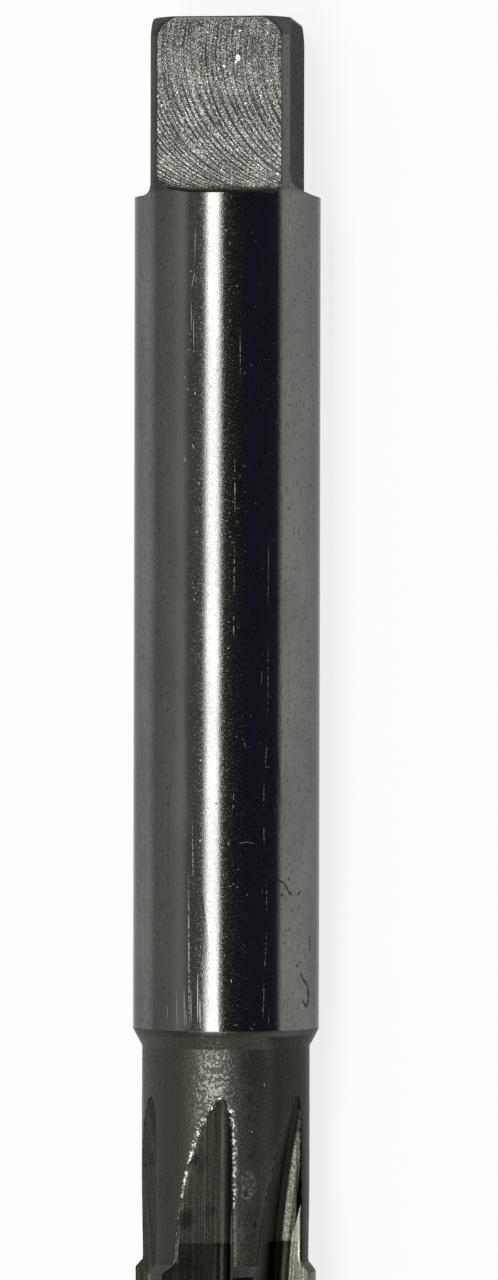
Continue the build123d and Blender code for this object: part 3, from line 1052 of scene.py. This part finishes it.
def milled_finish(looks, sizes):
    """The square's flats, with the arcs that the end mill left.

    The mill's rim passed each point of a flat when its centre was across plus the root of its radius
    squared less the height below its middle squared. Noise on that number, drawn out along the arcs, makes
    fine ridges, and an uneven wave on it makes the deeper cuts. A grain breaks them into sparks, which are
    partly that grain and partly painted glints, and a few brighter dots are painted glints.
    Dirt has darkened the corner at the foot, and a painted shade darkens the flats that point down.
    """
    material, steel = new_finish("milled_flats")
    steel.shader(Specular_Tint=(0.05, 0.05, 0.05, 1.0))
    place, chart = steel.place(), steel.chart()
    across, along, _ = steel.parts(chart)
    radius = sizes.mill_diameter / 2 / MM
    height = steel.maths("MODULO", along, CHART_STEP)
    below = steel.less(radius, height)
    inside = steel.less(radius * radius, steel.times(below, below))
    centre = steel.plus(across, steel.maths("SQRT", steel.most(inside, 0.01)))
    arcs = steel.add("CombineXYZ", {0: centre, 1: steel.less(along, across), 2: ARCS_LAYER})
    uneven = steel.noise(arcs, (0.9, 0.05, 1.0))
    passes = steel.maths("SINE", steel.times(steel.plus(centre, uneven), CUTS_RATE))
    fine_ridges = steel.noise(arcs, (8.0, 0.22, 1.0), roughness=0.6)
    grain = steel.noise(place, 14.0, roughness=0.6)
    breaks = steel.noise(place, 4.0, detail=1.0)
    clouds = steel.noise(place, 0.8, detail=3.0)
    tints = steel.noise(place, 6.0, detail=0.0)
    cuts = steel.times(steel.between(passes, 0.40, 0.85), steel.between(breaks, 0.27, 0.42),
                       steel.between(height, 3.5, 6.5, 0.95, 0.4))
    lines = steel.most(cuts, steel.between(fine_ridges, 0.46, 0.34, 0.0, 0.7))
    sparks = steel.between(grain, 0.45, 0.64)
    glints = steel.between(steel.noise(place, 11.0, detail=0.0), 0.72, 0.84)
    dirt = steel.between(height, 0.42, 0.16)
    # Painted shade: the more a flat points down, the darker it is made
    down = steel.side(place, LOW_SIDE)
    underside_shade = steel.plus(steel.between(down, 0.0, 0.5, 0.0, 0.40), steel.between(down, 0.6, 3.6, 0.0, 0.28))
    dent = steel.marks(chart, FLAT_DENTS)
    stain = steel.times(steel.marks(chart, FLAT_STAINS), steel.between(grain, 0.64, 0.50))

    warm, cool = toned(looks.milled, (2.30, 2.30, 2.05)), toned(looks.milled, (2.05, 2.10, 2.35))
    light = steel.blend(steel.between(tints, 0.42, 0.58), warm, cool)
    # The sparks are partly the grain and partly painted glints, and the glints are painted glints
    sparked = steel.blend(sparks, toned(looks.milled, 0.40), light)
    lined = steel.layered(sparked, (glints, 0.9, GLINT), (lines, 0.90, toned(looks.milled, 0.10)))
    clouded = steel.scaled(lined, steel.between(clouds, 0.35, 0.65, 0.80, 1.15))
    shaded = steel.scaled(clouded, steel.between(height, 2.0, 8.0, 1.20, 0.84))
    # Painted shade on the flats that point down
    underside_shaded = steel.dimmed(shaded, underside_shade, 1.0)
    colour = steel.layered(
        underside_shaded, (stain, 0.9, STAIN_ON_FLAT), (dirt, 0.85, DIRT_AT_FOOT), (dent, 1.0, DENT))
    rough = steel.plus(steel.times(sparks, 0.08), 0.22, steel.times(dirt, 0.15))
    relief = steel.plus(fine_ridges, steel.times(grain, 0.8), steel.times(cuts, -0.4))
    steel.shader(Base_Color=colour, Roughness=rough, Normal=steel.bump(relief, 0.030))
    return material


def turned_finish(looks):
    """Bevels, steps, end faces and centre holes: turned and left dull, with faint rings round the axis."""
    material, steel = new_finish("turned_bevels")
    place = steel.place()
    from_axis = steel.vectors("LENGTH", steel.vectors("MULTIPLY", place, (1.0, 0.0, 1.0)), output="Value")
    profile = steel.add("CombineXYZ", {0: from_axis, 1: steel.parts(place)[1]})
    lines = steel.noise(profile, (9.0, 9.0, 1.0), detail=3.0)
    grain = steel.noise(place, 10.0, detail=3.0, roughness=0.6)
    stain = steel.between(steel.noise(place, 1.3, detail=4.0), 0.46, 0.64)
    specks = steel.between(grain, 0.55, 0.68)

    dark, light = toned(looks.turned, 0.88), toned(looks.turned, 1.12)
    lined = steel.blend(steel.between(lines, 0.35, 0.65), dark, light)
    colour = steel.layered(lined, (specks, 0.6, toned(looks.turned, 1.9)), (stain, 0.3, STAIN_ON_BEVEL))
    rough = steel.between(grain, 0.3, 0.7, 0.26, 0.40)
    relief = steel.plus(steel.times(lines, 0.5), grain)
    steel.shader(Base_Color=colour, Roughness=rough, Normal=steel.bump(relief, 0.012))
    return material


def dull_finish(looks, sizes):
    """The neck, never ground: a blasted grain that sparkles, faint turning rings, stains and worn rims.

    Every grain has a number of its own, and the grains with a high one are specks. They are brighter and
    smoother than the dark skin between them. On the front they are smoother still, and their colour there
    is a painted highlight, so that the highlight there is a cloud of specks with soft sides. The spots worn
    by rubbing are brighter still. The rims of the run-outs are brighter too on a band between the tool's
    two silhouettes, partly from wear and partly as a painted highlight, and a painted shade darkens the
    side towards +X.
    """
    material, steel = new_finish("dull_neck")
    place, chart = steel.place(), steel.chart()
    along = steel.parts(chart)[1]
    grain = steel.noise(place, 8.0, detail=4.0, roughness=0.65)
    own = steel.grains(place, 9.5)
    rings = steel.noise(place, (0.15, 9.0, 0.15))
    clouds = steel.noise(place, (0.8, 0.45, 0.8), detail=4.0)
    to_right = steel.side(place, RIGHT_SIDE)
    # Painted shade on the side towards +X
    right_side_shade = steel.between(to_right, 3.40, 3.85)
    blot, rub, dent, front = shank_marks(
        steel, chart, sizes, NECK_BLOTS, NECK_RUBS, NECK_DENTS, NECK_FRONT)
    edge_width = steel.between(along, -52.0, -50.0, 0.04, 0.55)
    heel_width = steel.between(along, -52.5, -46.0, 0.03, 0.60)
    breaks = steel.between(steel.noise(place, 2.6, detail=1.0), 0.38, 0.56, 0.25, 1.0)
    edge = steel.between(steel.distance("from_edge"), edge_width, 0.0)
    heel = steel.between(steel.distance("from_heel"), heel_width, 0.0)
    # The rims' bright colour on this band is partly wear and partly a painted highlight
    rims = steel.times(steel.most(edge, heel), breaks, rim_highlight_band(steel, to_right))
    worn = steel.most(rims, steel.times(rub, 0.43))
    specks = steel.between(steel.plus(own, steel.times(grain, 0.6)), 0.82, 0.97)

    dark = steel.blend(steel.between(clouds, 0.46, 0.66), looks.dull, toned(looks.dull, 0.8))
    # Painted highlight: on the front, where the neck mirrors the soft box, the specks are made brighter
    light = steel.blend(front, NECK_GRAIN, FRONT_SPECK_HIGHLIGHT)
    bright = steel.blend(steel.between(worn, 0.2, 0.9), light, NECK_WEAR_AND_RIM_HIGHLIGHT)
    speckled = steel.blend(specks, dark, bright)
    broken = steel.dimmed(speckled, dark_rims(steel, along, breaks), 0.7)
    # Painted shade on the side towards +X
    right_side_shaded = steel.dimmed(broken, right_side_shade, 0.58)
    colour = steel.layered(right_side_shaded, (blot, 0.85, BLOT), (dent, 1.0, BARE))
    metal = steel.plus(steel.times(specks, 0.12), 0.82, steel.times(specks, rub, -0.36))
    smoother = steel.times(specks, steel.plus(steel.times(front, 0.14), 0.13))
    rough = steel.plus(steel.times(smoother, -1.0), 0.38, steel.times(steel.most(worn, dent), 0.05))
    relief = steel.plus(grain, steel.times(rings, 0.2))
    steel.shader(Base_Color=colour, Metallic=metal, Roughness=rough, Normal=steel.bump(relief, 0.032))
    return material


def flute_finish(looks):
    """The flutes as ground by the wheel's rim: long streaks at a constant reach, grain, stains and wear.

    The wheel's second pass ends in the run-out. The full depth past it is smoother, so that it mirrors the
    dark above it. The root is darker, the most over the full depth. A last pass ground the outer part of
    each cutting face, rough and bright, from a point on the edge down to a constant reach. On the side
    towards +X, the run-out's face has a painted highlight by the root and a painted shade by the cutting
    edge, and a painted shade darkens the back by the root. The rims' bright colour, on a band between the
    tool's two silhouettes, is partly wear and partly a painted highlight.
    """
    material, steel = new_finish("ground_flutes")
    place, chart = steel.place(), steel.chart()
    across, along, _ = steel.parts(chart)
    half = CHART_STEP / 2
    reach = steel.less(steel.maths("MODULO", steel.plus(across, half), CHART_STEP), half)
    streaks = steel.noise(chart, (9.0, 0.10, 1.0), detail=3.0)
    wide = steel.noise(chart, (2.2, 0.05, 1.0))
    grain = steel.noise(place, 10.0, detail=3.0, roughness=0.6)
    clouds = steel.noise(place, (0.9, 0.6, 0.9), detail=4.0)
    to_right = steel.side(place, RIGHT_SIDE)
    edge = steel.between(steel.distance("from_edge"), 0.10, 0.04)
    heel = steel.between(steel.distance("from_heel"), 0.12, 0.04)
    specks = steel.between(grain, 0.52, 0.60)
    breaks = steel.between(steel.noise(place, 2.6, detail=1.0), 0.42, 0.58)
    full_depth = steel.between(along, SECOND_PASS + 0.02, SECOND_PASS - 0.02)
    raked_from = steel.add("MapRange", {
        "Value": along, "From Min": -53.0, "From Max": -50.4, "To Min": 1.02, "To Max": 1.52})
    raked = steel.times(steel.between(steel.less(reach, raked_from), -0.02, 0.02),
                        steel.between(along, RAKE_PASS + 0.05, RAKE_PASS - 0.05))
    root = steel.between(steel.maths("ABSOLUTE", steel.less(reach, 0.35)), 0.55, 0.35)
    by_edge = steel.times(steel.between(steel.distance("from_edge"), 0.36, 0.24),
                          steel.between(along, -46.8, -48.6))
    # Painted highlight from the root up the face, and painted shade by the cutting edge, on the side
    # towards +X
    face = steel.plus(steel.between(reach, 0.45, 0.60), steel.between(reach, 0.75, 1.35, 0.0, -1.0),
                      steel.times(by_edge, -0.9))
    face = steel.times(steel.most(face, -0.62), steel.between(to_right, 2.2, 2.7),
                       steel.between(full_depth, 1.0, 0.0))
    stains = steel.most(steel.marks(chart, FLUTE_STAINS), steel.between(clouds, 0.56, 0.70, 0.0, 0.6))

    dark, light = toned(looks.fluted, 0.65), toned(looks.fluted, 1.35)
    streaked = steel.blend(steel.between(streaks, 0.35, 0.65), dark, light)
    shaded = steel.layered(streaked, (steel.between(wide, 0.40, 0.60), 0.4, toned(looks.fluted, 0.6)))
    face_painted_light = steel.scaled(shaded, steel.plus(steel.times(face, 1.7), steel.times(root, -0.45), 1.0))
    # Painted shade on the back by the root, on the side towards +X
    right_side_shade = steel.times(steel.between(reach, 0.35, 0.05), steel.between(to_right, 2.0, 3.0))
    shade_and_root_dimmed = steel.dimmed(steel.dimmed(face_painted_light, right_side_shade, 0.38), steel.times(root, full_depth), 0.62)
    contrast = steel.plus(steel.times(steel.between(face, 0.0, 0.6), 0.30), 0.25)
    grainy = steel.plus(steel.times(steel.between(grain, 0.40, 0.60, -1.0, 1.0), contrast), 1.0)
    stained = steel.layered(steel.scaled(shade_and_root_dimmed, grainy), (stains, 0.8, STAIN_IN_FLUTE))
    rake = steel.blend(specks, toned(looks.rake, 0.7), toned(looks.rake, 1.12))
    ground = steel.blend(raked, stained, rake)
    # The rims' colour is partly wear and partly a painted highlight
    rim_wear_and_highlight_colour = steel.blend(specks, toned(looks.fluted, 0.4), RIM_WEAR_AND_HIGHLIGHT)
    rims = steel.times(steel.most(edge, heel), breaks, rim_highlight_band(steel, to_right),
                       steel.between(along, *RIM_WEAR_FADES, 0.2, 0.6))
    rimmed = steel.blend(rims, ground, rim_wear_and_highlight_colour)
    colour = steel.dimmed(rimmed, dark_rims(steel, along, breaks), 0.7)
    rough = steel.plus(steel.times(clouds, 0.10), 0.40, steel.times(full_depth, -0.20),
                       steel.times(raked, 0.12))
    relief = steel.plus(steel.times(grain, 0.7), steel.times(streaks, 0.8), steel.times(wide, 0.6))
    steel.shader(Base_Color=colour, Roughness=rough, Normal=steel.bump(relief, 0.016))
    return material


def land_finish(looks):
    """The lands of the cutting part: ground round their margins, with fine rings and a brighter edge."""
    material, steel = new_finish("ground_lands")
    place = steel.place()
    rings = steel.noise(place, (0.2, 14.0, 0.2), detail=3.0)
    grain = steel.noise(place, 11.0, detail=3.0, roughness=0.6)
    clouds = steel.noise(place, (0.7, 0.4, 0.7), detail=4.0)
    edge = steel.between(steel.distance("from_edge"), 0.42, 0.30)
    clouded = steel.blend(steel.between(clouds, 0.45, 0.65), looks.ground, toned(looks.ground, 0.65))
    colour = steel.layered(clouded, (edge, 0.6, toned(looks.ground, 1.10)))
    rough = steel.plus(steel.times(grain, 0.06), steel.times(clouds, 0.04), 0.045)
    relief = steel.plus(rings, steel.times(grain, 0.8))
    steel.shader(Base_Color=colour, Roughness=rough, Normal=steel.bump(relief, 0.0024))
    return material


class REAMER_OT_make_tool(bpy.types.Operator):
    """Makes the reamer as one closed surface in its steel finishes"""
    bl_idname = "reamer.make_tool"
    bl_label = "Make the reamer"

    def execute(self, context):
        sizes, looks = context.scene.reamer_sizes, context.scene.steel_looks
        places, columns = Places(sizes), Columns(sizes)
        grid = reamer_grid(sizes, places, columns)
        depth = sizes.centre_depth
        poles = [[0.0, places.end - depth, 0.0], [0.0, places.tool_end + depth, 0.0]]
        mesh = mesh_from_grid("reamer", grid, poles)
        mark_sharp_lines(mesh, grid)
        add_charts(mesh, grid, columns, sizes.shank_diameter / 2)
        for finish in (ground_finish(looks, sizes), milled_finish(looks, sizes), turned_finish(looks),
                       dull_finish(looks, sizes), flute_finish(looks), land_finish(looks)):
            mesh.materials.append(finish)
        piece = bpy.data.objects.new("reamer", mesh)
        context.scene.collection.objects.link(piece)
        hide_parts("hand_reamer")
        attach(piece, "root")
        return {"FINISHED"}


# How bright the studio is round the tool: the angle from +Z towards +X, and the light there. Dark gaps
# lie between the soft boxes, and the pale backdrop shows low on both sides.
STUDIO = (
    (-90.0, (0.80, 0.79, 0.77)), (-84.5, (0.80, 0.79, 0.77)), (-81.5, (0.44, 0.43, 0.43)),
    (-66.0, (0.44, 0.44, 0.43)), (-50.0, (0.53, 0.53, 0.50)), (-40.0, (0.70, 0.69, 0.64)),
    (-34.0, (0.73, 0.72, 0.65)), (-30.0, (0.28, 0.28, 0.27)), (-15.0, (0.27, 0.27, 0.26)),
    (-6.0, (0.25, 0.25, 0.24)), (13.0, (0.13, 0.13, 0.11)), (25.0, (0.06, 0.06, 0.055)),
    (40.0, (0.037, 0.037, 0.065)), (70.0, (0.044, 0.045, 0.083)), (86.0, (0.05, 0.05, 0.07)),
    (90.0, (0.20, 0.20, 0.20)),
)
STUDIO_ENDS = (0.30, 0.30, 0.28)
STUDIO_WALLS = (0.72, 0.71, 0.69)

# The long soft box above the tool: its width, its length and its place
BOX_WIDTH = 0.285
BOX_LENGTH = 2.0
BOX_PLACE = (0.049, 0.0, 1.0)

# The floor's disc, and how much of its light is its own where it is seen
FLOOR_RADIUS = 4.0
FLOOR_SIDES = 64
FLOOR_GLOW = 0.82

# The picture in pixels: its height, the square's shoulder below its top edge, and how far its middle
# lies to the right of the tool's axis. The last is the height of the camera's sensor, in millimetres
PICTURE_HEIGHT = 1280
SHOULDER_BELOW_TOP = 198.3
MIDDLE_PAST_AXIS = 22.2
SENSOR = 24.0


def make_studio_world(scene):
    """The light all round: STUDIO by the angle round the tool, and beyond its ends grey over pale walls."""
    world = bpy.data.worlds.new("studio")
    scene.world = world
    wiring = Wiring(world)
    direction = wiring.add("TexCoord", {}, "Generated")
    across, along, up = wiring.parts(direction)
    turn = wiring.maths("ARCTAN2", across, up)
    share = wiring.maths("MULTIPLY_ADD", turn, 1 / (2 * math.pi), 0.5)
    ramp = wiring.tree.nodes.new("ShaderNodeValToRGB")
    wiring.fill(ramp, {0: share})
    stops = ramp.color_ramp.elements
    while len(stops) < len(STUDIO):
        stops.new(1.0)
    for stop, (turn, light) in zip(stops, STUDIO):
        stop.position = turn / 360 + 0.5
        stop.color = (*light, 1.0)
    beyond = wiring.between(wiring.maths("ABSOLUTE", along), 0.24, 0.27)
    ends = wiring.blend(wiring.between(up, 0.40, 0.05), STUDIO_ENDS, STUDIO_WALLS)
    light = wiring.blend(beyond, ramp.outputs[0], ends)
    wiring.fill(world.node_tree.nodes["Background"], {"Color": light})


def make_floor(scene, level, floor_colour):
    """A wide round floor for the tool to lie on: a flat disc, its rim the radius times cosine and sine.

    Seen by the camera or mirrored in the steel, it glows a little of its own, so that it looks nearly
    white and the tool's shadow on it stays soft and light.
    """
    turn = np.linspace(0.0, 2 * math.pi, FLOOR_SIDES, endpoint=False)
    rim = np.stack([FLOOR_RADIUS * np.cos(turn), FLOOR_RADIUS * np.sin(turn), 0 * turn + level], axis=-1)
    mesh = bpy.data.meshes.new("floor")
    mesh.from_pydata(rim.tolist(), [], [list(range(FLOOR_SIDES))])
    floor = bpy.data.objects.new("floor", mesh)
    scene.collection.objects.link(floor)
    material = bpy.data.materials.new("floor")
    paper = Wiring(material)
    paper.shader(Base_Color=(*floor_colour, 1.0), Roughness=0.9)
    seen = paper.most(paper.add("LightPath", {}, "Is Camera Ray"),
                      paper.add("LightPath", {}, "Is Glossy Ray"),
                      paper.add("LightPath", {}, "Is Transmission Ray"))
    glow = paper.add("Emission", {"Color": (1.0, 1.0, 1.0, 1.0), "Strength": 1.0})
    lit = paper.tree.nodes["Principled BSDF"].outputs[0]
    mixed = paper.add("MixShader", {0: paper.times(seen, FLOOR_GLOW), 1: lit, 2: glow})
    paper.fill(paper.tree.nodes["Material Output"], {"Surface": mixed})
    mesh.materials.append(material)


def make_strip(scene, brightness):
    """The long soft box above the tool. A lamp's power is its brightness times pi times its area."""
    lamp = bpy.data.lights.new("strip", "AREA")
    lamp.shape = "RECTANGLE"
    lamp.size, lamp.size_y = BOX_WIDTH, BOX_LENGTH
    lamp.energy = brightness * math.pi * lamp.size * lamp.size_y
    holder = bpy.data.objects.new("strip", lamp)
    holder.location = BOX_PLACE
    holder.visible_camera = False
    scene.collection.objects.link(holder)


def make_camera(scene, looks):
    """The camera over the square end, tilted to +X and rolled a little, so that the tool is upright."""
    camera = bpy.data.cameras.new("camera")
    holder = bpy.data.objects.new("camera", camera)
    scene.collection.objects.link(holder)
    scene.camera = holder
    back = Vector((math.sin(looks.tilt), 0.0, math.cos(looks.tilt)))
    up = Vector((0.0, 1.0, 0.0))
    right = up.cross(back)
    turn = Matrix((right, up, back)).transposed() @ Matrix.Rotation(looks.roll, 3, "Z")
    below_shoulder = (PICTURE_HEIGHT / 2 - SHOULDER_BELOW_TOP) * looks.pixel
    middle = Vector((0.0, -below_shoulder, 0.0)) + right * MIDDLE_PAST_AXIS * looks.pixel
    holder.matrix_world = Matrix.Translation(middle + back * looks.distance) @ turn.to_4x4()
    camera.sensor_fit = "VERTICAL"
    camera.sensor_height = camera.sensor_width = SENSOR
    camera.lens = SENSOR * looks.distance / (PICTURE_HEIGHT * looks.pixel)
    camera.clip_start = 0.01


class REAMER_OT_make_stage(bpy.types.Operator):
    """Makes the pale floor, the soft studio light and the camera"""
    bl_idname = "reamer.make_stage"
    bl_label = "Make the stage"

    def execute(self, context):
        scene = context.scene
        looks = scene.stage_looks
        make_floor(scene, -scene.reamer_sizes.shank_diameter / 2, looks.floor)
        make_studio_world(scene)
        make_strip(scene, looks.strip)
        make_camera(scene, looks)
        scene.view_settings.view_transform = "Standard"
        return {"FINISHED"}


class REAMER_PT_panel(bpy.types.Panel):
    """Lists the operators, the sizes and the looks"""
    bl_idname = "REAMER_PT_panel"
    bl_label = "Hand Reamer"
    bl_space_type = "VIEW_3D"
    bl_region_type = "UI"
    bl_category = "Reamer"

    def draw(self, context):
        self.layout.operator(REAMER_OT_make_tool.bl_idname)
        self.layout.operator(REAMER_OT_make_stage.bl_idname)
        scene = context.scene
        for settings in (scene.reamer_sizes, scene.steel_looks, scene.stage_looks):
            for name in type(settings).__annotations__:
                self.layout.prop(settings, name)


CLASSES = (ReamerSizes, SteelLooks, StageLooks, REAMER_OT_make_tool, REAMER_OT_make_stage, REAMER_PT_panel)


def register():
    """Makes the classes known, and gives the scene its settings."""
    for kind in CLASSES:
        bpy.utils.register_class(kind)
    bpy.types.Scene.reamer_sizes = bpy.props.PointerProperty(type=ReamerSizes)
    bpy.types.Scene.steel_looks = bpy.props.PointerProperty(type=SteelLooks)
    bpy.types.Scene.stage_looks = bpy.props.PointerProperty(type=StageLooks)


def unregister():
    """Takes the scene's settings and the classes away again."""
    del bpy.types.Scene.stage_looks
    del bpy.types.Scene.steel_looks
    del bpy.types.Scene.reamer_sizes
    for kind in reversed(CLASSES):
        bpy.utils.unregister_class(kind)


def main():
    """Registers the add-on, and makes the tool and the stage."""
    register()
    bpy.ops.reamer.make_tool()
    bpy.ops.reamer.make_stage()


if __name__ == "__main__":
    main()
